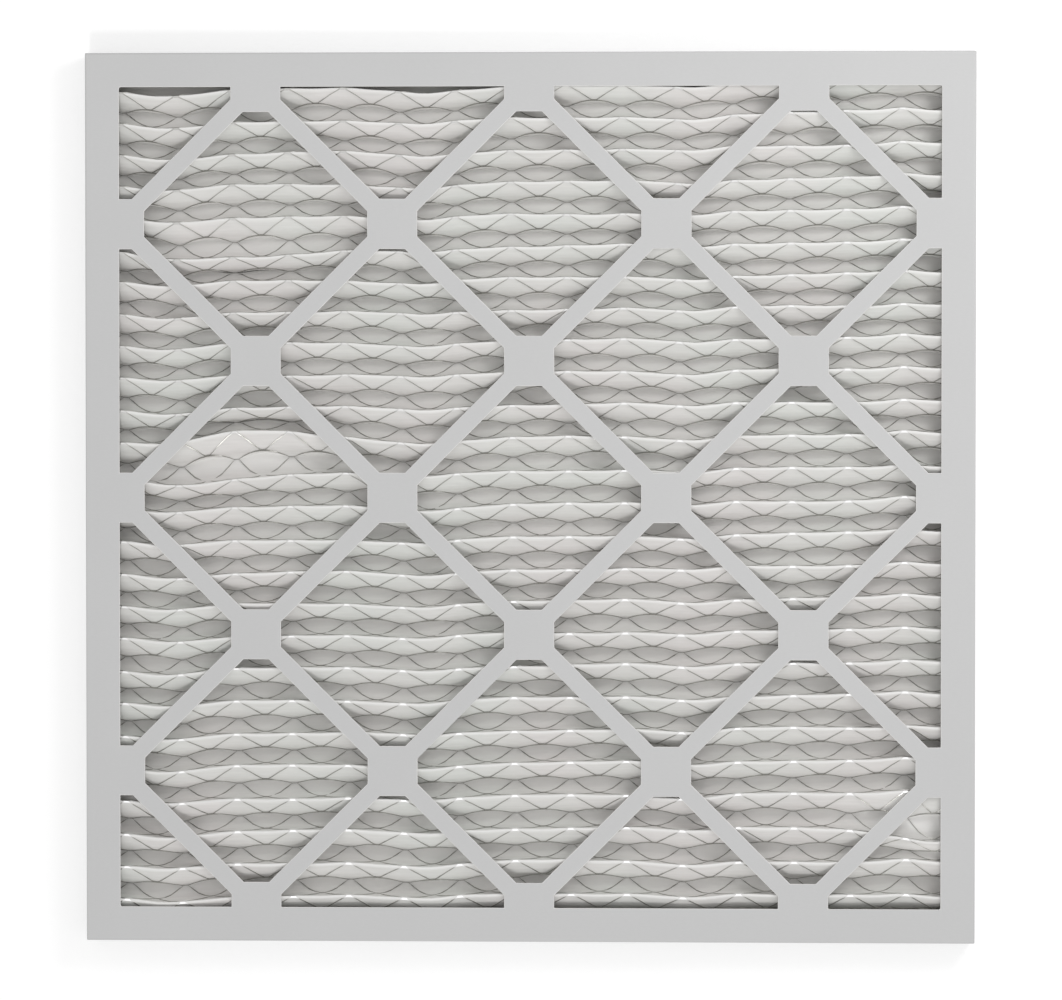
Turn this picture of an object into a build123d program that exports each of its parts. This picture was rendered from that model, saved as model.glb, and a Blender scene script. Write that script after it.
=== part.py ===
from build123d import *
import math
import os

# Pleated panel air filter, nominal 20 x 20 x 1 inch, lying on its rear face.
# X and Y run along the panel's sides and the pleats run along X. +Z leaves the front face, on
# the side of the support grid. The origin is the middle of the rear face. All sizes are in mm.

# ---- Outline of the panel ----
panel_side = 495.3      # length and width over the frame
panel_depth = 19.05     # thickness over both frame faces

# ---- Frame: two die-cut boards, each folded to a tray, the rear one inside the front one ----
board = 0.7             # thickness of the frame board
fold_radius = 0.6       # inside radius of each folded edge
border = 19.05          # face board between the outer edge and the windows
window_pitch = 152.4    # from one window's centre to the next along a row
strip_width = 9.7       # diagonal strips between the windows
pad_width = 27.9        # square pads where the strips cross
corner_radius = 1.1     # windows' corners on the border
least_window = 30.0     # a window that the border leaves narrower than this isn't cut
nest_gap = 0.15         # clearance between the nested flanges
rim_setback = 1.0       # rear flange's edge below the front board's folded edge
tab_length = 18.0       # glue tabs that close the front tray's corners
tab_gap = 0.1           # glue line between a tab and the flange outside it
tab_setback = 0.7       # glue tab's edges to the folded edges above and below them
tab_clearance = 0.3     # rear flanges' cut ends to the glue tabs

# ---- Adhesive beads that the edges of the pleated pack are set in ----
seal_thickness = 1.5    # from the rear flange to the pack

# ---- Pleated media, folded across Y ----
media_thickness = 0.8
pleat_pitch = 17.93     # from one front fold to the next
first_ridge = 229.2     # Y of the front fold nearest the +Y edge
valley_lead = 10.5      # each front fold to the rear fold on its -Y side: the pleats lean

# ---- Support grid: expanded metal bonded to the front of the media and folded with it ----
grid_gap = 0.1          # adhesive between the media and the grid
strand_thickness = 0.5
strand_width = 0.9
diamond_width = 62.0    # from one bond to the next along a fold, twice that of the real mesh
diamond_offset = 20.6   # X of the bond on a front fold that lies nearest the middle
grid_side_gap = 0.4     # cut edges of the grid to the seals

fit_tolerance = 1e-9    # the folds' depth is worked out to this

# ---- Sizes that follow ----
opening_side = panel_side - 2 * border
front_inside = panel_side - 2 * board
rear_side = front_inside - 2 * nest_gap
rear_inside = rear_side - 2 * board
pack_side = rear_inside - 2 * seal_thickness
face_underside = panel_depth - board
tab_inside = front_inside / 2 - tab_gap - board
rear_corner = tab_inside - tab_clearance
rear_rim = face_underside - fold_radius - rim_setback
media_face = media_thickness / 2
grid_back = media_face + grid_gap
grid_face = grid_back + strand_thickness
clear_through = 3 * panel_depth     # height of a cutter or trim that passes right through

ON_Z0 = (Align.CENTER, Align.CENTER, Align.MIN)


def block(x_range, y_range, z_range):
    """A box between two corners."""
    low, high = zip(x_range, y_range, z_range)
    size = [b - a for a, b in zip(low, high)]
    return Pos(*low) * Box(*size, align=(Align.MIN, Align.MIN, Align.MIN))


def tray(side, height, radius):
    """A square block whose upper edges are rounded, standing on Z = 0."""
    body = Box(side, side, height, align=ON_Z0)
    return fillet(body.faces().sort_by(Axis.Z)[-1].edges(), radius)


def folded_tray(side, height):
    """A face board on top with four flanges folded down from it."""
    outside = tray(side, height, fold_radius + board)
    inside = tray(side - 2 * board, height - board, fold_radius)
    return outside - inside


def window(x, y):
    """One eight-sided window, cut off where the border begins."""
    reach = window_pitch / 2 - strip_width / math.sqrt(2)
    half = window_pitch / 2 - pad_width / 2
    diamond = Rot(0, 0, 45) * Rectangle(reach * math.sqrt(2), reach * math.sqrt(2))
    cell = Pos(x, y) * (diamond & Rectangle(2 * half, 2 * half))
    return cell & Rectangle(opening_side, opening_side)


def windows():
    """Every window of the lattice, in rows that are offset by half a pitch."""
    half_pitch = window_pitch / 2
    half_cell = half_pitch - pad_width / 2
    last = int((opening_side / 2 + half_cell - least_window) / half_pitch)
    steps = range(-last, last + 1)
    return [window(i * half_pitch, j * half_pitch) for i in steps for j in steps if (i + j) % 2 == 0]


def cut_windows(body):
    """The lattice cut through the face board that lies on top of a tray."""
    height = body.bounding_box().max.Z
    cutters = [extrude(Pos(0, 0, height - board) * cell, board) for cell in windows()]
    corners = Rectangle(opening_side, opening_side).vertices()
    body = body - cutters
    upright = body.edges().filter_by(Axis.Z)
    sharp = [e for e in upright for c in corners
             if math.hypot(e.center().X - c.X, e.center().Y - c.Y) < board]
    return fillet(sharp, corner_radius) if sharp else body


def four_corners(piece):
    """A piece at the +X +Y corner, mirrored into all four corners."""
    pair = [piece, mirror(piece, Plane.YZ)]
    return pair + [mirror(p, Plane.XZ) for p in pair]


def front_frame():
    """The outer tray. Tabs on its Y flanges turn the corners and are glued inside its X flanges."""
    low = board + fold_radius + tab_setback
    high = face_underside - fold_radius - tab_setback
    wall = front_inside / 2
    tab = block((tab_inside, wall - tab_gap), (wall - tab_length, wall), (low, high))
    seam = block((wall - tab_gap, wall), (wall, panel_side / 2), (0, high))
    body = folded_tray(panel_side, panel_depth) + four_corners(tab)
    return cut_windows(body - four_corners(seam))


def rear_frame():
    """The inner tray, face down. Its flanges stop short of the front tray's glue tabs."""
    relief_y = front_inside / 2 - tab_length - tab_clearance
    out = panel_side / 2
    relief = block((rear_corner, out), (relief_y, out), (board + fold_radius, panel_depth))
    body = Rot(180, 0, 0) * cut_windows(folded_tray(rear_side, rear_rim))
    return Pos(0, 0, rear_rim) * body - four_corners(relief)


def edge_seals():
    """Flat beads on the rear flanges: the Y pair runs full length, the X pair lies between."""
    heights = (board + fold_radius, rear_rim)
    inner, outer = pack_side / 2, rear_inside / 2
    right = block((inner, outer), (-inner, inner), heights)
    top = block((-rear_corner, rear_corner), (inner, outer), heights)
    return {"seal_right": right, "seal_left": mirror(right, Plane.YZ),
            "seal_top": top, "seal_bottom": mirror(top, Plane.XZ)}


def ridge_rows():
    """Y of every front fold from the -Y edge up, with one more past each edge of the pack."""
    after = math.ceil((pack_side / 2 - first_ridge) / pleat_pitch)
    count = math.ceil(pack_side / pleat_pitch) + 2
    return [first_ridge + pleat_pitch * (after - n) for n in range(count, -1, -1)]


def pleat_shape():
    """Z of the media's middle at the rear and front folds, and the lean of the pleats.

    The sheet's outer corners meet both frame boards. The lean is that of the plane that halves
    a fold, from upright towards +Y.
    """
    room = face_underside - board
    depth, last = room, 0
    while abs(depth - last) > fit_tolerance:
        last = depth
        down = math.atan(valley_lead / depth)
        up = math.atan((pleat_pitch - valley_lead) / depth)
        lean = (down - up) / 2
        reach = math.cos(lean) / math.sin((down + up) / 2)
        depth = room - reach * (media_face + grid_face)
    return board + reach * media_face, face_underside - reach * grid_face, lean


def folded_sheet(low, high, side):
    """A square sheet folded across Y, between two distances from the media's middle."""
    valley_z, ridge_z, _ = pleat_shape()
    folds = [[(ridge - valley_lead, valley_z), (ridge, ridge_z)] for ridge in ridge_rows()]
    middle = Wire(Polyline(*[point for pair in folds for point in pair]).edges())
    lower, upper = [middle.offset_2d(distance, kind=Kind.INTERSECTION, closed=False,
                                     side=Side.LEFT if distance > 0 else Side.RIGHT)
                    for distance in (low, high)]
    ends = [Line(lower @ t, upper @ t) for t in (0, 1)]
    section = Plane.YZ * make_face([*lower.edges(), *upper.edges(), *ends])
    sheet = extrude(section, side / 2, both=True)
    return sheet & Box(side, side, clear_through)


def pleated_media():
    """One sheet in tight pleats. The folds lie against the frame boards, the edges in the seals."""
    return folded_sheet(-media_face, media_face, pack_side)


def diamond_holes():
    """Prisms for the grid's holes, leaning with the folds so that their corners lie on them."""
    valley_z, ridge_z, lean = pleat_shape()
    along = (0, math.sin(lean), math.cos(lean))
    ridge_shift, valley_shift = ridge_z * math.tan(lean), valley_z * math.tan(lean)
    lead = valley_lead - ridge_shift + valley_shift
    half = diamond_width / 2
    cell = Polygon((-half, 0), (0, -lead), (half, 0), (0, pleat_pitch - lead), align=None)
    side_reach = half * lead / math.hypot(half, lead)
    over_ridge = scale(cell, 1 - strand_width / 2 / side_reach)
    over_valley = mirror(over_ridge, Plane.XZ)
    columns = math.ceil(pack_side / 2 / diamond_width) + 1
    holes = []
    for ridge in ridge_rows():
        for column in range(-columns, columns + 1):
            x = diamond_offset + column * diamond_width
            holes.append(Pos(x + half, ridge - ridge_shift) * over_ridge)
            holes.append(Pos(x, ridge - valley_lead - valley_shift) * over_valley)
    return [extrude(hole, clear_through, dir=along) for hole in holes]


def support_grid():
    """Expanded metal with one row of diamonds over each fold. Ends that are cut free fall away."""
    grid = folded_sheet(grid_back, grid_face, pack_side - 2 * grid_side_gap) - diamond_holes()
    return max(grid.solids(), key=lambda solid: solid.volume)


def parts():
    """Every piece of the filter under its node's name."""
    pieces = {"front_frame": front_frame(), "rear_frame": rear_frame(),
              "pleated_media": pleated_media(), "support_grid": support_grid()}
    return pieces | edge_seals()


if __name__ == "__main__":
    os.makedirs("parts", exist_ok=True)
    for name, piece in parts().items():
        export_step(piece, f"parts/{name}.step", write_pcurves=False)
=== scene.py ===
import math

import bpy
import numpy as np
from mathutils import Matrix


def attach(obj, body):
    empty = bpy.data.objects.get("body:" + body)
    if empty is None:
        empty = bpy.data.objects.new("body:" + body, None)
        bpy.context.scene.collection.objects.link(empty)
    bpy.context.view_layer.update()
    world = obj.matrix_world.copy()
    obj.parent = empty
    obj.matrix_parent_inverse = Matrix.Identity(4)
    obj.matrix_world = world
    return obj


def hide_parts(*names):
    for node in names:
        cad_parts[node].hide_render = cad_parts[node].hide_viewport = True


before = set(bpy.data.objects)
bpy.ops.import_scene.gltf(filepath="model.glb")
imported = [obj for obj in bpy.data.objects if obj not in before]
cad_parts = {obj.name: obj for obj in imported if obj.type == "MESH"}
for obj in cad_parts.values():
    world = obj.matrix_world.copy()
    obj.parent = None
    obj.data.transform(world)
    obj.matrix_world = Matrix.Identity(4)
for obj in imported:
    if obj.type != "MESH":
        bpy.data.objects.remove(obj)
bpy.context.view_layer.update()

MM = 0.001

# ---- Sizes in mm that the part's source also has ----
PACK_SIDE = 489.2           # length and width of the pleated sheet between its seals
PLEAT_PITCH = 17.93         # from one front fold to the next
FIRST_RIDGE = 229.2         # Y of the front fold nearest the +Y edge
MEDIA_THICKNESS = 0.8
GRID_GAP = 0.1              # adhesive between the sheet and the metal

# ---- The folded sheet, in mm ----
FRONT_FOLDS = 27
FIRST_ROW, LAST_ROW = -0.93, 26.2   # where the sheet begins and ends, in pleats
PLEAT_LENGTH = 39.0         # cloth in one pleat, front fold to front fold
RIDGE_Z = 17.45             # middle of the sheet at a front fold
VALLEY_Z = 0.95             # and at a rear fold
VALLEY_LEAD = 9.9           # each front fold to the rear fold on its -Y side, at a bond
REAR_PULL = 1.9             # the rear fold lies this much nearer the front fold between bonds
BOND_LIFT = 0.5             # a front fold lies this much further towards +Y at a bond than between two
FRONT_ROUND = 0.012         # a front fold is rounded over this share of a pleat on either side
REAR_ROUND = 0.02           # and a rear fold over this much more
# half way down from a front fold and half way up to the next: Y from the first fold and Z, then the
# sheet's direction there
DOWN_FLANK, DOWN_SLOPE = (-7.1, 11.5), (-0.45, -0.89)
UP_FLANK, UP_SLOPE = (-17.4, 8.2), (-0.3, 0.95)
# the sheet's direction where it leaves a fold and where it reaches the next, in Y and Z
FRONT_LEAVE, REAR_ARRIVE = (-0.77, -0.64), (-0.15, -0.98)
REAR_LEAVE, FRONT_ARRIVE = (-0.84, 0.5), (0.0, 1.0)

# ---- How the front folds wander towards +Y from straight lines, in mm ----
# smoothly over the panel: a size, then the powers of X and of Y that it goes with
DRIFT = ((0.4, 0, 0), (2.6, 1, 0), (0.6, 0, 1), (-2, 0, 2), (-0.4, 1, 1), (0.75, 2, 1))
DRIFT_X, DRIFT_Y = 222, 240     # X and Y count 1 this far from the middle
# where every fold dips towards -Y: X, width and depth
DIPS = ((-200, 14, 2.8), (-60, 18, 2.6), (89, 12, 2.1), (208, 10, -1.3))
# two ripples, out of step from fold to fold: height, length of a radian, radians to the next fold, start
LONG_RIPPLE = (0.35, 31, 2.4, 0)
SHORT_RIPPLE = (0.3, 17, 5.1, 1)
SHORT_SWELL = 1.7           # radians from fold to fold in which the short one swells and fades
RIPPLE_END, RIPPLE_FADE = 244, 30   # X where the ripples end, and how long they take to fade out
WANDER_END, WANDER_FADE = 246, 8    # the same in Y, for all that the folds wander
# front folds that were bent in handling: number from the top, X, width and drop towards -Y
BENT_FOLDS = ((5, -157, 34, 5.0), (11, -150, 30, -6.0), (12, -185, 26, 3.5), (23, 222, 22, 8.5),
              (24, 226, 20, 0.8), (25, 226, 20, 1.2))
# where neighbouring folds lean together: the fold in the middle, how many either side, then X of the
# middle, its reach and how far they lean towards +Y
LEANING = ((9.2, 1.6, -30, 200, 1.5), (14.5, 1.2, -80, 130, -1.0), (24.8, 1.5, 190, 90, -2.4),
           (0.6, 1.1, 180, 45, 1.4), (0.6, 1.1, -205, 30, -1.5))
# a valley that was pushed up: its fold number, then X of the middle, width and height
LIFTED_VALLEYS = ((22, 215, 24, 7.0), (23, 226, 22, 9.0), (11, -150, 26, 2.5))

# ---- The expanded metal, in mm ----
STRAND = 0.46               # width of a strand
STRAND_DEPTH = 0.3          # and its thickness
STRAND_END = 243.9          # X where the strands are cut off
BOND_SPACING = 31.05        # from one bond to the next along a fold
BOND_X = 21.9               # X of the bond on a front fold nearest the middle
BOND_DRIFT = 1.7            # the bonds' rows run this far sideways
BOND_DRIFT_Y = 247          # from the middle to this Y
BOND_LEVEL = 0.08           # a strand runs level over this share of its length at each bond
WAVES = 17                  # diamonds across the panel, the outer ones cut off
# how steeply a strand leaves the bonds it runs between, in each quarter of a pleat from the front fold
STRAND_SLOPES = ((0.75, 1.4), (2.2, 0.1), (1.8, 0.5), (0.3, 0.6))
MERGE = 0.0001              # places nearer than this count as one

# ---- Painted light along the folds ----
# where a mark lies and how far it reaches, in pleats
# a painted highlight along the cloth's front folds, reaching onto their shaded side
FRONT_HIGHLIGHT = (-0.03, 0.065)
# painted light in the cloth's rear folds, against the shade of the valleys
REAR_PAINTED_LIGHT = (0.5, 0.19)
# painted glints on the metal along its front folds
METAL_GLINT = (0, 0.024)
MARK_HEIGHT = 1.6           # above 1, so that a mark is full over a band in its middle
# how strong the painted glint on the metal is: in the middle, what X and the rows add at the edges, and
# least
GLINT, GLINT_ALONG, GLINT_DOWN, LEAST_GLINT = 0.85, 0.35, 0.4, 0.2
GLINT_X, GLINT_ROWS = 240, 13     # X and rows from the middle of the panel to those edges

# ---- The pressed boards ----
RIM = 0.3                   # width in mm of the crushed rim along each cut
RIM_ANGLE = 60              # only edges at least this sharp get a rim, in degrees
SMOOTH_ANGLE = 35           # and flatter ones than this are shaded smooth


# ---------------------------------------------------------------- helpers

def deselect():
    if bpy.context.object and bpy.context.object.mode != "OBJECT":
        bpy.ops.object.mode_set(mode="OBJECT")
    bpy.ops.object.select_all(action="DESELECT")


def only(obj):
    """Makes obj the one object that operators act on."""
    deselect()
    obj.select_set(True)
    bpy.context.view_layer.objects.active = obj


def apply_modifiers(obj):
    only(obj)
    for modifier in list(obj.modifiers):
        bpy.ops.object.modifier_apply(modifier=modifier.name)


def apply_place(obj):
    only(obj)
    bpy.ops.object.transform_apply(location=True, rotation=True, scale=True)


# ---------------------------------------------------------------- shape of the folds

def sag(x, centre, width, drop):
    """A smooth hollow in a line, drop deep at centre."""
    return drop * np.exp(-((x - centre) / width) ** 2 / 2)


def ripple(x, row, height, length, turn, start):
    return height * np.sin(x / length + turn * row + start)


def fade(distance, end, length):
    """1 in the middle of the panel and 0 from end on, falling over the last stretch of this length."""
    return np.clip((end - np.abs(distance)) / length, 0, 1)


def row_y(row):
    """Y of a straight front fold, by its number from the top."""
    return FIRST_RIDGE - PLEAT_PITCH * row


def ridge_shift(x, row):
    """How far front fold number row wanders from its straight line at x, in mm towards +Y."""
    bent = 0
    for fold, centre, width, drop in BENT_FOLDS:
        bent = bent - np.where(row == fold, sag(x, centre, width, drop), 0)
    for fold, spread, centre, width, lean in LEANING:
        bent = bent + sag(x, centre, width, lean) * np.exp(-((row - fold) / spread) ** 2 / 2)
    along, up = x / DRIFT_X, row_y(row) / DRIFT_Y
    shift = sum(size * along ** x_power * up ** y_power for size, x_power, y_power in DRIFT)
    for centre, width, depth in DIPS:
        shift = shift - sag(x, centre, width, depth)
    ripples = ripple(x, row, *LONG_RIPPLE) + ripple(x, row, *SHORT_RIPPLE) * np.cos(row * SHORT_SWELL)
    return shift + bent + ripples * fade(x, RIPPLE_END, RIPPLE_FADE)


def bond_drift(row):
    """How far the bonds at this row lie towards -X of where they would in upright lines."""
    return BOND_DRIFT * row_y(row) / BOND_DRIFT_Y


def at_bond(x, row):
    """1 where the metal's bonds sit on the front folds, 0 half way between them."""
    turn = (x - BOND_X + bond_drift(row)) / BOND_SPACING
    return (1 + np.cos(2 * np.pi * turn)) / 2


def curve_weights(u):
    """Weights of a curve's start, its direction there, its end and its direction there, as u goes 0 to 1."""
    return 2 * u ** 3 - 3 * u ** 2 + 1, u ** 3 - 2 * u ** 2 + u, -2 * u ** 3 + 3 * u ** 2, u ** 3 - u ** 2


def sharp_fold(t, bond):
    """Y and Z along one pleat, from a front fold down its -Y face and up to the next fold.

    The metal pulls the rear fold towards it between the bonds, so bond moves that fold.
    """
    t = t % 1
    front = (0, RIDGE_Z)
    rear = (-VALLEY_LEAD + REAR_PULL * (1 - bond), VALLEY_Z)
    next_front = (-PLEAT_PITCH, RIDGE_Z)
    # each quarter of the pleat: where it starts and the sheet's direction there, and the same for its end
    quarters = ((front, FRONT_LEAVE, DOWN_FLANK, DOWN_SLOPE),
                (DOWN_FLANK, DOWN_SLOPE, rear, REAR_ARRIVE),
                (rear, REAR_LEAVE, UP_FLANK, UP_SLOPE),
                (UP_FLANK, UP_SLOPE, next_front, FRONT_ARRIVE))
    run = PLEAT_LENGTH / 4
    y, z = 0, 0
    for quarter, (here, leave, there, arrive) in enumerate(quarters):
        u = t * 4 - quarter
        inside = (u >= 0) & (u < 1)
        start, leaving, end, arriving = curve_weights(u)
        y = y + inside * (start * here[0] + leaving * run * leave[0] + end * there[0]
                          + arriving * run * arrive[0])
        z = z + inside * (start * here[1] + leaving * run * leave[1] + end * there[1]
                          + arriving * run * arrive[1])
    return y, z


def pleat_line(row, bond):
    """The folded line with its folds rounded, tight at the front and softer at the rear."""
    reach = FRONT_ROUND + REAR_ROUND * (1 - np.cos(2 * np.pi * row)) / 2
    steps = (-1, -0.6, -0.2, 0.2, 0.6, 1)
    y, z = 0, 0
    for step in steps:
        at = row + step * reach
        part_y, part_z = sharp_fold(at, bond)
        y = y + (part_y - PLEAT_PITCH * np.floor(at)) / len(steps)
        z = z + part_z / len(steps)
    return y, z


def folded(x, row, height):
    """The place in mm of a point of the flat sheet.

    Its x runs across the sheet in mm, row counts pleats along it, and height is in mm off its middle.
    """
    near = 0.004    # pleats to the points either side that give the sheet's direction
    bond = at_bond(x, row)
    y, z = pleat_line(row, bond)
    ahead_y, ahead_z = pleat_line(row + near, bond)
    behind_y, behind_z = pleat_line(row - near, bond)
    dy, dz = ahead_y - behind_y, ahead_z - behind_z
    length = np.hypot(dy, dz)
    ridge = np.floor(row)
    blend = np.clip(-(y + PLEAT_PITCH * ridge) / PLEAT_PITCH, 0, 1)
    shift = (1 - blend) * ridge_shift(x, ridge) + blend * ridge_shift(x, ridge + 1)
    shift = shift + BOND_LIFT * (bond - 0.5) * np.cos(np.pi * blend) ** 2
    straight_y = FIRST_RIDGE + y
    place_y = straight_y + shift * fade(straight_y, WANDER_END, WANDER_FADE) + height * dz / length
    place_z = z - height * dy / length
    for fold, centre, width, rise in LIFTED_VALLEYS:
        within = np.clip(row - fold, 0, 1)
        place_z = place_z + sag(x, centre, width, rise) * np.sin(np.pi * within) ** 2
    return x, place_y, place_z


def fold_mesh(obj):
    """Moves every vertex of a flat piece onto the folds. Its Y counts pleats, its X and Z are in mm."""
    count = len(obj.data.vertices)
    co = np.empty(count * 3)
    obj.data.vertices.foreach_get("co", co)
    x, row, height = co.reshape(-1, 3).T
    x, y, z = folded(x, row, height)
    clear_of_seal = 0.1
    limit = PACK_SIDE / 2 - clear_of_seal
    y = np.clip(y, -limit, limit)
    obj.data.vertices.foreach_set("co", (np.stack([x, y, z], axis=1) * MM).ravel())
    obj.data.update()


def mark_folds(obj, name, first, reach):
    """Stores 1 on every fold of a flat piece, counted from fold first, and 0 from reach pleats away."""
    fold = obj.data.attributes.new(name, "FLOAT", "POINT")
    for v, mark in zip(obj.data.vertices, fold.data):
        away = abs((v.co.y - first + 0.5) % 1 - 0.5)
        mark.value = min(1, max(0, MARK_HEIGHT * (1 - away / reach)))


# ---------------------------------------------------------------- the cloth

def pleated_sheet():
    """The nonwoven, a flat grid of cloth that is folded and then given its thickness."""
    columns, lines = 80, 440
    crowding = 0.72     # how many more of the lines lie at the folds than on the flanks, from 0 to 1
    deselect()
    bpy.ops.mesh.primitive_grid_add(x_subdivisions=columns, y_subdivisions=lines, size=1,
                                    location=(0, (FIRST_ROW + LAST_ROW) / 2, 0))
    sheet = bpy.context.object
    sheet.name = sheet.data.name = "media_sheet"
    sheet.scale = (PACK_SIDE, LAST_ROW - FIRST_ROW, 1)
    apply_place(sheet)
    for v in sheet.data.vertices:
        v.co.y -= crowding * math.sin(4 * math.pi * v.co.y) / (4 * math.pi)
    # marks for a painted highlight along the front folds
    mark_folds(sheet, "front_fold_highlight", *FRONT_HIGHLIGHT)
    # and for painted light in the rear folds, against the shade of the valleys
    mark_folds(sheet, "rear_fold_painted_light", *REAR_PAINTED_LIGHT)
    fold_mesh(sheet)
    wall = sheet.modifiers.new("thickness", "SOLIDIFY")
    wall.thickness = MEDIA_THICKNESS * MM
    wall.offset = 0
    apply_modifiers(sheet)
    only(sheet)
    bpy.ops.object.shade_smooth()
    return sheet


# ---------------------------------------------------------------- the metal

def delete_first(obj, count):
    """Deletes the first vertices of a piece, this many of them, and their faces."""
    bpy.ops.object.mode_set(mode="EDIT")
    bpy.ops.mesh.select_all(action="DESELECT")
    bpy.ops.object.mode_set(mode="OBJECT")
    for v in obj.data.vertices[:count]:
        v.select = True
    bpy.ops.object.mode_set(mode="EDIT")
    bpy.ops.mesh.select_mode(type="VERT")
    bpy.ops.mesh.delete(type="VERT")
    bpy.ops.mesh.select_mode(type="FACE")
    bpy.ops.object.mode_set(mode="OBJECT")


def flip(obj, axis, place, keep=True):
    """Mirrors a piece about a place. The half it came from stays, joined to the new one, if keep says so."""
    bpy.ops.object.empty_add(location=place)
    centre = bpy.context.object
    mirror = obj.modifiers.new("mirror", "MIRROR")
    mirror.use_axis = tuple(a == axis for a in "XYZ")
    mirror.mirror_object = centre
    mirror.merge_threshold = MERGE
    mirror.use_mirror_merge = keep
    before = len(obj.data.vertices)
    apply_modifiers(obj)
    bpy.data.objects.remove(centre)
    if not keep:
        delete_first(obj, before)


def repeat(obj, step, count, merge=False):
    """Turns a piece into a line of count copies, each one step from the last."""
    line = obj.modifiers.new("repeat", "ARRAY")
    line.use_relative_offset = False
    line.use_constant_offset = True
    line.constant_offset_displace = step
    line.count = count
    line.use_merge_vertices = merge
    line.merge_threshold = MERGE
    apply_modifiers(obj)


def select_ends(obj, *sides):
    """In edit mode, selects a strand's end faces: its +X end for side 1, its -X end for side -1."""
    bpy.ops.mesh.select_all(action="DESELECT")
    bpy.ops.object.mode_set(mode="OBJECT")
    xs = [v.co.x for v in obj.data.vertices]
    ends = [max(xs) if side > 0 else min(xs) for side in sides]
    for face in obj.data.polygons:
        at_end = any(abs(face.center.x - end) < MERGE for end in ends)
        face.select = at_end and abs(face.normal.x) > 0.9
    bpy.ops.object.mode_set(mode="EDIT")


def metal_row(quarter, leave, arrive):
    """One zigzag row of the metal: half a wave is extruded, then mirrored and repeated across."""
    half_wave = BOND_SPACING / 2
    width = STRAND / PLEAT_LENGTH
    rise = 0.25 - width
    base = MEDIA_THICKNESS / 2 + GRID_GAP
    steps = (0, BOND_LEVEL, 0.26, 0.5, 0.74, 1 - BOND_LEVEL, 1)
    climb = []
    for step in steps:
        u = min(1, max(0, (step - BOND_LEVEL) / (1 - 2 * BOND_LEVEL)))
        _, leaving, end, arriving = curve_weights(u)
        climb.append(leaving * leave + end + arriving * arrive)
    first_length = steps[1] * half_wave
    deselect()
    bpy.ops.mesh.primitive_cube_add(size=1, location=(first_length / 2, width / 2, base + STRAND_DEPTH / 2))
    strand = bpy.context.object
    strand.scale = (first_length, width, STRAND_DEPTH)
    apply_place(strand)
    bpy.ops.object.mode_set(mode="EDIT")
    bpy.ops.mesh.select_mode(type="FACE")
    for n in range(1, len(steps) - 1):
        select_ends(strand, 1)
        bpy.ops.mesh.extrude_region_move(TRANSFORM_OT_translate={
            "value": ((steps[n + 1] - steps[n]) * half_wave, rise * (climb[n + 1] - climb[n]), 0)})
    # both ends stay open, to be joined or cut
    select_ends(strand, 1, -1)
    bpy.ops.mesh.delete(type="FACE")
    bpy.ops.object.mode_set(mode="OBJECT")
    if quarter % 2:
        flip(strand, "Y", (0, 1 / 8, 0), keep=False)
    flip(strand, "X", (half_wave, 0, 0))
    repeat(strand, (BOND_SPACING, 0, 0), WAVES, merge=True)
    repeat(strand, (0, 1, 0), FRONT_FOLDS)
    # the last quarter of a pleat starts a row early, before the first front fold
    first_row = quarter / 4 - (1 if quarter == 3 else 0)
    first_x = BOND_X - BOND_SPACING * (WAVES + 1) / 2
    for v in strand.data.vertices:
        v.co.x += first_x
        v.co.y += first_row
    return strand


def trim_side(obj, side):
    """Cuts the strands off square near the seal, and closes their ends."""
    only(obj)
    bpy.ops.object.mode_set(mode="EDIT")
    bpy.ops.mesh.select_all(action="SELECT")
    bpy.ops.mesh.bisect(plane_co=(side * STRAND_END, 0, 0), plane_no=(side, 0, 0), use_fill=True,
                        clear_outer=True)
    bpy.ops.object.mode_set(mode="OBJECT")


def outward(obj):
    """Turns all faces of a piece to look out of it."""
    only(obj)
    bpy.ops.object.mode_set(mode="EDIT")
    bpy.ops.mesh.select_all(action="SELECT")
    bpy.ops.mesh.normals_make_consistent(inside=False)
    bpy.ops.object.mode_set(mode="OBJECT")


def glint_strength(x, row):
    """How strong the painted glint on the metal is at a place of the panel, most towards the +X, -Y corner.
    """
    glint = GLINT + GLINT_ALONG * x / GLINT_X + GLINT_DOWN * (row / GLINT_ROWS - 1)
    return min(1, max(LEAST_GLINT, glint))


def expanded_metal():
    """Four rows of strands for every pleat, joined into a sheet of diamonds and folded with the cloth."""
    rows = [metal_row(quarter, *slopes) for quarter, slopes in enumerate(STRAND_SLOPES)]
    deselect()
    for row in rows:
        row.select_set(True)
    bpy.context.view_layer.objects.active = rows[0]
    bpy.ops.object.join()
    metal = bpy.context.object
    metal.name = metal.data.name = "support_mesh"
    for v in metal.data.vertices:
        v.co.x -= bond_drift(v.co.y)
    trim_side(metal, -1)
    trim_side(metal, 1)
    # painted glints along the metal's front folds, stronger towards the +X, -Y corner
    mark_folds(metal, "front_fold_highlight", *METAL_GLINT)
    for v, mark in zip(metal.data.vertices, metal.data.attributes["front_fold_highlight"].data):
        mark.value *= glint_strength(v.co.x, v.co.y)
    fold_mesh(metal)
    outward(metal)
    return metal


# ---------------------------------------------------------------- the frame boards

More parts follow.
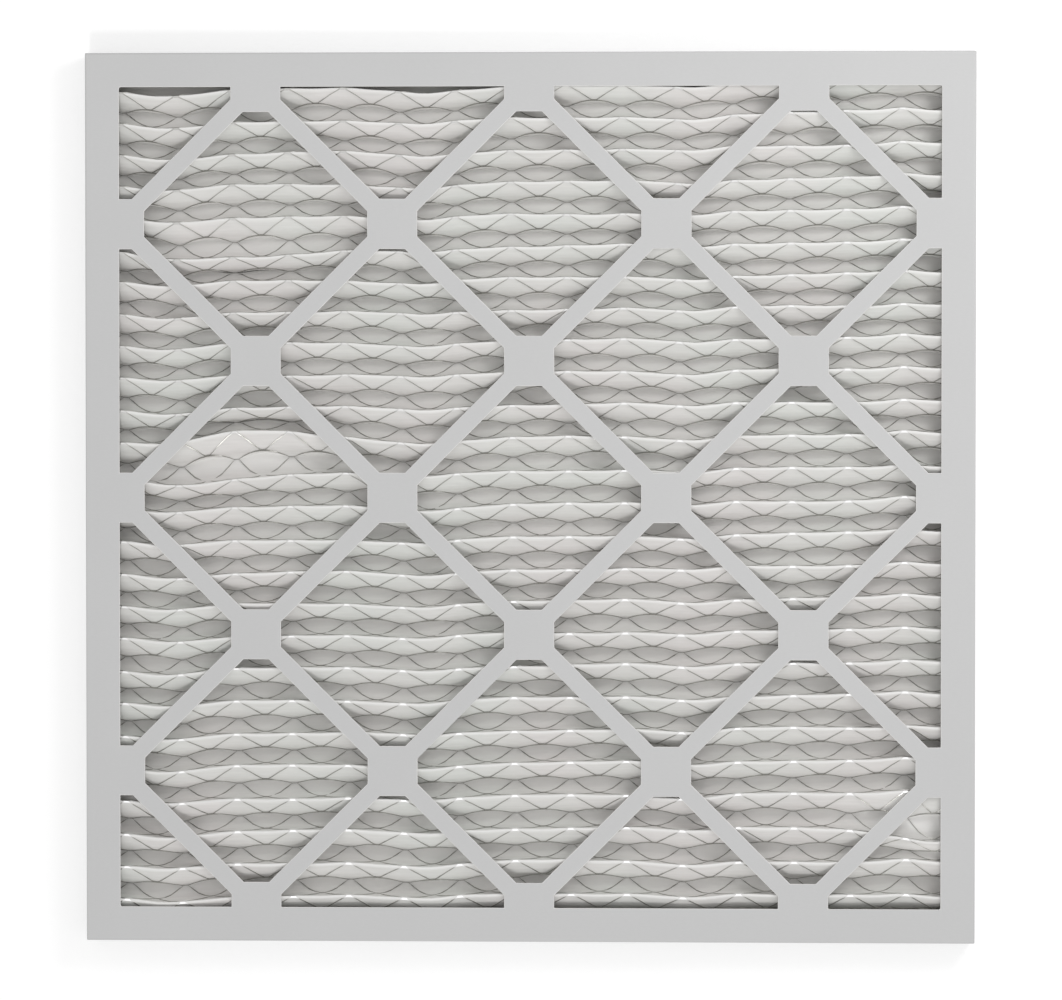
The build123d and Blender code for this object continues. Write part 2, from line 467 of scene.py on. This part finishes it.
def pressed_board(node, name):
    """A frame half from its CAD outline, with the crushed rim that a die leaves along each cut."""
    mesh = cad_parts[node].data.copy()
    mesh.materials.clear()
    board = bpy.data.objects.new(name, mesh)
    bpy.context.collection.objects.link(board)
    only(board)
    bpy.ops.object.mode_set(mode="EDIT")
    bpy.ops.mesh.select_all(action="SELECT")
    bpy.ops.mesh.remove_doubles(threshold=0.01 * MM)
    bpy.ops.mesh.dissolve_limited(angle_limit=math.radians(0.5))
    bpy.ops.object.mode_set(mode="OBJECT")
    # one slot for the faces and one for the rims, both filled later
    mesh.materials.append(None)
    mesh.materials.append(None)
    rim = board.modifiers.new("rim", "BEVEL")
    rim.width = RIM * MM
    rim.segments = 2
    rim.limit_method = "ANGLE"
    rim.angle_limit = math.radians(RIM_ANGLE)
    rim.use_clamp_overlap = False
    rim.material = 1
    apply_modifiers(board)
    bpy.ops.object.shade_smooth_by_angle(angle=math.radians(SMOOTH_ANGLE))
    even = board.modifiers.new("flat_faces", "WEIGHTED_NORMAL")
    even.weight = 100
    even.keep_sharp = True
    apply_modifiers(board)
    return board


media = pleated_sheet()
metal = expanded_metal()
front = pressed_board("front_frame", "front_board")
rear = pressed_board("rear_frame", "rear_board")


# ---------------------------------------------------------------- materials

def feed(tree, slot, given):
    """Sets a node's input to a number, or links another node's output to it."""
    if isinstance(given, bpy.types.NodeSocket):
        tree.links.new(given, slot)
    else:
        slot.default_value = given


def maths(tree, operation, *given):
    """The output of a new Math node with these inputs."""
    node = tree.nodes.new("ShaderNodeMath")
    node.operation = operation
    for slot, value in zip(node.inputs, given):
        feed(tree, slot, value)
    return node.outputs[0]


def noise(tree, place, scale, detail):
    """The grey output of a new Noise node."""
    node = tree.nodes.new("ShaderNodeTexNoise")
    feed(tree, node.inputs["Vector"], place)
    feed(tree, node.inputs["Scale"], scale)
    feed(tree, node.inputs["Detail"], detail)
    return node.outputs[0]


def mix_colours(tree, factor, a, b, blend="MIX"):
    """The output of a new colour Mix node."""
    node = tree.nodes.new("ShaderNodeMix")
    node.data_type = "RGBA"
    node.blend_type = blend
    feed(tree, node.inputs["Factor"], factor)
    feed(tree, node.inputs["A"], a)
    feed(tree, node.inputs["B"], b)
    return node.outputs["Result"]


def fibre_group():
    """Fibres that run mostly along X, with a cloudy tone between them and patches of a faint tint."""
    group = bpy.data.node_groups.new("fibres", "ShaderNodeTree")
    # each input by its name, with the value it has where a material gives none
    inputs = (("Fibre scale", 900.0), ("Stretch", 8.0), ("Fibre depth", 0.1), ("Cloud scale", 25.0),
              ("Cloud depth", 0.06), ("Tint depth", 0.0))
    colour = group.interface.new_socket("Colour", in_out="INPUT", socket_type="NodeSocketColor")
    colour.default_value = (0.8, 0.8, 0.8, 1)
    for label, value in inputs:
        socket = group.interface.new_socket(label, in_out="INPUT", socket_type="NodeSocketFloat")
        socket.default_value = value
    group.interface.new_socket("Colour", in_out="OUTPUT", socket_type="NodeSocketColor")
    group.interface.new_socket("Height", in_out="OUTPUT", socket_type="NodeSocketFloat")
    given = group.nodes.new("NodeGroupInput").outputs
    put = group.nodes.new("NodeGroupOutput").inputs
    place = group.nodes.new("ShaderNodeTexCoord").outputs["Object"]

    # the fibres are a noise drawn out along X
    along = group.nodes.new("ShaderNodeCombineXYZ")
    feed(group, along.inputs["X"], maths(group, "DIVIDE", 1, given["Stretch"]))
    feed(group, along.inputs["Y"], 1)
    feed(group, along.inputs["Z"], 1)
    stretched = group.nodes.new("ShaderNodeVectorMath")
    stretched.operation = "MULTIPLY"
    feed(group, stretched.inputs[0], place)
    feed(group, stretched.inputs[1], along.outputs[0])
    fibre = noise(group, stretched.outputs[0], given["Fibre scale"], detail=3)
    cloud = noise(group, place, given["Cloud scale"], detail=4)

    def around_one(source, depth):
        return maths(group, "MULTIPLY_ADD", maths(group, "SUBTRACT", source, 0.5), depth, 1)

    toned = group.nodes.new("ShaderNodeVectorMath")
    toned.operation = "SCALE"
    feed(group, toned.inputs[0], given["Colour"])
    feed(group, toned.inputs["Scale"], maths(group, "MULTIPLY", around_one(fibre, given["Fibre depth"]),
                                             around_one(cloud, given["Cloud depth"])))

    # patches a few centimetres wide lean to pink or to green
    greenish, pinkish = (0.93, 1.0, 0.94, 1), (1.0, 0.95, 0.94, 1)
    spread = group.nodes.new("ShaderNodeMapRange")
    feed(group, spread.inputs["Value"], noise(group, place, scale=14, detail=1))
    feed(group, spread.inputs["From Min"], 0.35)
    feed(group, spread.inputs["From Max"], 0.65)
    hue = mix_colours(group, spread.outputs["Result"], greenish, pinkish)
    feed(group, put["Colour"], mix_colours(group, given["Tint depth"], toned.outputs[0], hue, "MULTIPLY"))
    feed(group, put["Height"], fibre)
    return group


FIBRES = fibre_group()


def fibrous(name, colour, roughness, sheen=0.0, bump=0.1, metallic=0.0, **values):
    """A material whose colour and relief come from the fibre group."""
    material = bpy.data.materials.new(name)
    material.use_nodes = True
    tree = material.node_tree
    shader = tree.nodes["Principled BSDF"]
    shader.inputs["Roughness"].default_value = roughness
    shader.inputs["Metallic"].default_value = metallic
    shader.inputs["Sheen Weight"].default_value = sheen
    pattern = tree.nodes.new("ShaderNodeGroup")
    pattern.node_tree = FIBRES
    pattern.inputs["Colour"].default_value = (*colour, 1)
    for label, value in values.items():
        pattern.inputs[label.replace("_", " ").capitalize()].default_value = value
    relief = tree.nodes.new("ShaderNodeBump")
    relief.inputs["Strength"].default_value = bump
    relief.inputs["Distance"].default_value = 0.2 * MM
    tree.links.new(pattern.outputs["Colour"], shader.inputs["Base Color"])
    tree.links.new(pattern.outputs["Height"], relief.inputs["Height"])
    tree.links.new(relief.outputs["Normal"], shader.inputs["Normal"])
    return material


def paint_fold_light(material, folds, colour):
    """Paints light along the folds: over a fold mark the base colour turns lighter. It makes the painted
    highlight on the cloth's front folds, the painted light in its rear folds and the painted glints on the
    metal.
    """
    tree = material.node_tree
    mark = tree.nodes.new("ShaderNodeAttribute")
    mark.attribute_name = folds
    base = tree.nodes["Principled BSDF"].inputs["Base Color"]
    plain = base.links[0].from_socket
    tree.links.new(mix_colours(tree, mark.outputs["Fac"], plain, (*colour, 1)), base)


paperboard = fibrous("paperboard", (0.553, 0.553, 0.553), 0.6, bump=0.08,
                     fibre_scale=1200, stretch=3, fibre_depth=0.05, cloud_scale=18, cloud_depth=0.05)
cut_edge = fibrous("paperboard_cut", (0.74, 0.735, 0.72), 0.75, bump=0.15,
                   fibre_scale=1500, stretch=1, fibre_depth=0.12, cloud_scale=60, cloud_depth=0.08)
nonwoven = fibrous("nonwoven_polyester", (0.715, 0.705, 0.69), 0.95, sheen=0.05, bump=0.25,
                   fibre_scale=700, stretch=14, fibre_depth=0.16, cloud_scale=45, cloud_depth=0.1,
                   tint_depth=0.32)
zinc = fibrous("galvanised_steel", (0.36, 0.355, 0.33), 0.35, metallic=1.0, bump=0.05,
               fibre_scale=900, stretch=1, fibre_depth=0.25, cloud_scale=60, cloud_depth=0.3)
hot_melt = fibrous("hot_melt_adhesive", (0.78, 0.76, 0.7), 0.45, bump=0.3,
                   fibre_scale=250, stretch=5, fibre_depth=0.06, cloud_scale=90, cloud_depth=0.1)

# painted light: the cloth turns lighter in its rear folds, against the shade of the valleys
paint_fold_light(nonwoven, "rear_fold_painted_light", (0.86, 0.85, 0.835))
# painted highlight: the cloth turns lighter along its front folds
paint_fold_light(nonwoven, "front_fold_highlight", (0.88, 0.875, 0.86))
# painted glints: the metal turns near white along its front folds
paint_fold_light(zinc, "front_fold_highlight", (0.97, 0.97, 0.97))

media.data.materials.append(nonwoven)
metal.data.materials.append(zinc)
for board in (front, rear):
    board.data.materials[0] = paperboard
    board.data.materials[1] = cut_edge
for side in ("left", "right", "top", "bottom"):
    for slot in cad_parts["seal_" + side].material_slots:
        slot.link = "OBJECT"
        slot.material = hot_melt

for piece, node, slot in ((media, "pleated_media", "filter_media"),
                          (metal, "support_grid", "galvanised_grid"),
                          (front, "front_frame", "frame_board"),
                          (rear, "rear_frame", "frame_board")):
    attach(piece, "root")
    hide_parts(node)


# ---------------------------------------------------------------- floor, light and camera

FLOOR_SIZE = 12
FLOOR_DROP = 0.2 * MM       # the floor lies this far under the part
FLOOR_GLOW = 0.3            # what the camera sees of the floor beyond the light on it
ROOM_LIGHT, ROOM_WHITE = 0.7, 1.0   # the world as a light, and as the camera sees it
KEY_TILT, KEY_ENERGY, KEY_ANGLE = 38, 0.6, 10   # the sun's tilt and softness in degrees
SIDE_PLACE, SIDE_SIZE, SIDE_ENERGY = (0.62, 0.5, 0.7), 0.4, 2.7
CAMERA_PLACE = (0.0822, 0.054, 2.4)
CAMERA_TURN = (-1.326, 1.952)   # degrees about X and Y, from looking straight down
CAMERA_LENS = 145.25


def seen_by_camera(tree):
    """1 for rays from the camera, also by way of a reflection or through something clear, 0 for others."""
    rays = tree.nodes.new("ShaderNodeLightPath").outputs
    straight = maths(tree, "MAXIMUM", rays["Is Camera Ray"], rays["Is Glossy Ray"])
    return maths(tree, "MAXIMUM", straight, rays["Is Transmission Ray"])


def white_floor():
    """The floor's material, which the camera sees as pure white."""
    white = bpy.data.materials.new("white_floor")
    white.use_nodes = True
    tree = white.node_tree
    shader = tree.nodes["Principled BSDF"]
    shader.inputs["Base Color"].default_value = (0.8, 0.8, 0.8, 1)
    shader.inputs["Roughness"].default_value = 1
    shader.inputs["Specular IOR Level"].default_value = 0
    shader.inputs["Emission Color"].default_value = (1, 1, 1, 1)
    feed(tree, shader.inputs["Emission Strength"], maths(tree, "MULTIPLY", seen_by_camera(tree), FLOOR_GLOW))
    return white


def studio_world():
    """White all round, a little dimmer as a light than as the camera sees it."""
    world = bpy.data.worlds.new("studio")
    world.use_nodes = True
    tree = world.node_tree
    strength = tree.nodes.new("ShaderNodeMapRange")
    feed(tree, strength.inputs["Value"], seen_by_camera(tree))
    feed(tree, strength.inputs["To Min"], ROOM_LIGHT)
    feed(tree, strength.inputs["To Max"], ROOM_WHITE)
    backdrop = tree.nodes["Background"]
    backdrop.inputs["Color"].default_value = (1, 1, 1, 1)
    feed(tree, backdrop.inputs["Strength"], strength.outputs["Result"])
    return world


deselect()
bpy.ops.mesh.primitive_plane_add(size=FLOOR_SIZE, location=(0, 0, -FLOOR_DROP))
floor = bpy.context.object
floor.name = "floor"
floor.data.materials.append(white_floor())
bpy.context.scene.world = studio_world()

deselect()
bpy.ops.object.light_add(type="SUN", rotation=(math.radians(KEY_TILT), 0, 0))
key = bpy.context.object
key.name = "key_light"
key.data.energy = KEY_ENERGY
key.data.angle = math.radians(KEY_ANGLE)

bpy.ops.object.light_add(type="AREA", location=SIDE_PLACE)
side = bpy.context.object
side.name = "side_light"
side.data.size = SIDE_SIZE
side.data.energy = SIDE_ENERGY
side.rotation_euler = (-side.location).to_track_quat("-Z", "Y").to_euler()

turn_x, turn_y = CAMERA_TURN
bpy.ops.object.camera_add(location=CAMERA_PLACE, rotation=(math.radians(turn_x), math.radians(turn_y), 0))
camera = bpy.context.object
camera.data.sensor_width = 36
camera.data.lens = CAMERA_LENS
camera.data.clip_end = 20
bpy.context.scene.camera = camera

bpy.context.scene.view_settings.view_transform = "Standard"
